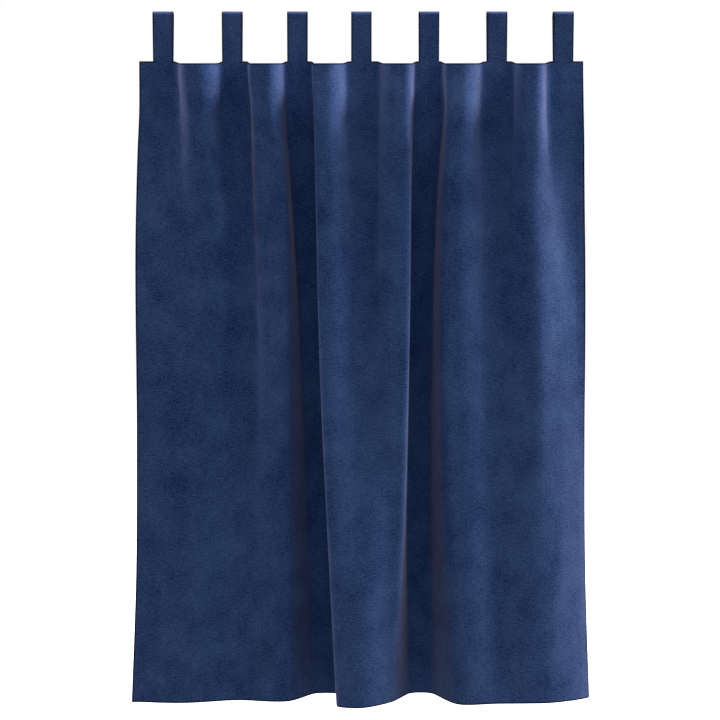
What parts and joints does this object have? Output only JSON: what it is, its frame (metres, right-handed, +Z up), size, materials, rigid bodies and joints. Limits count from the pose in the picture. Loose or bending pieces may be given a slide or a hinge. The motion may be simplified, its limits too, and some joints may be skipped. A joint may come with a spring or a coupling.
{
  "type": "tab-top velvet curtain panel",
  "caption": "Tab-top velvet curtain panel hanging in soft vertical folds, with cloth loops along its top edge that slip over a curtain rod.",
  "frame": {"origin": "on the axis of the rod that the tabs loop over, midway along the curtain", "axes": "+Z up the drop, +X along the rod to the viewer's right, -Y out of the curtain's front"},
  "size_m": [1.1715, 0.1403, 1.7501],
  "materials": {
    "navy_velvet": "short dense cut pile, matt, lighter where it turns away"
  },
  "bodies": {
    "root": {"curtain_panel": "navy_velvet", "tab_1": "navy_velvet", "tab_2": "navy_velvet", "tab_3": "navy_velvet", "tab_4": "navy_velvet", "tab_5": "navy_velvet", "tab_6": "navy_velvet", "tab_7": "navy_velvet"}
  },
  "joints": []
}
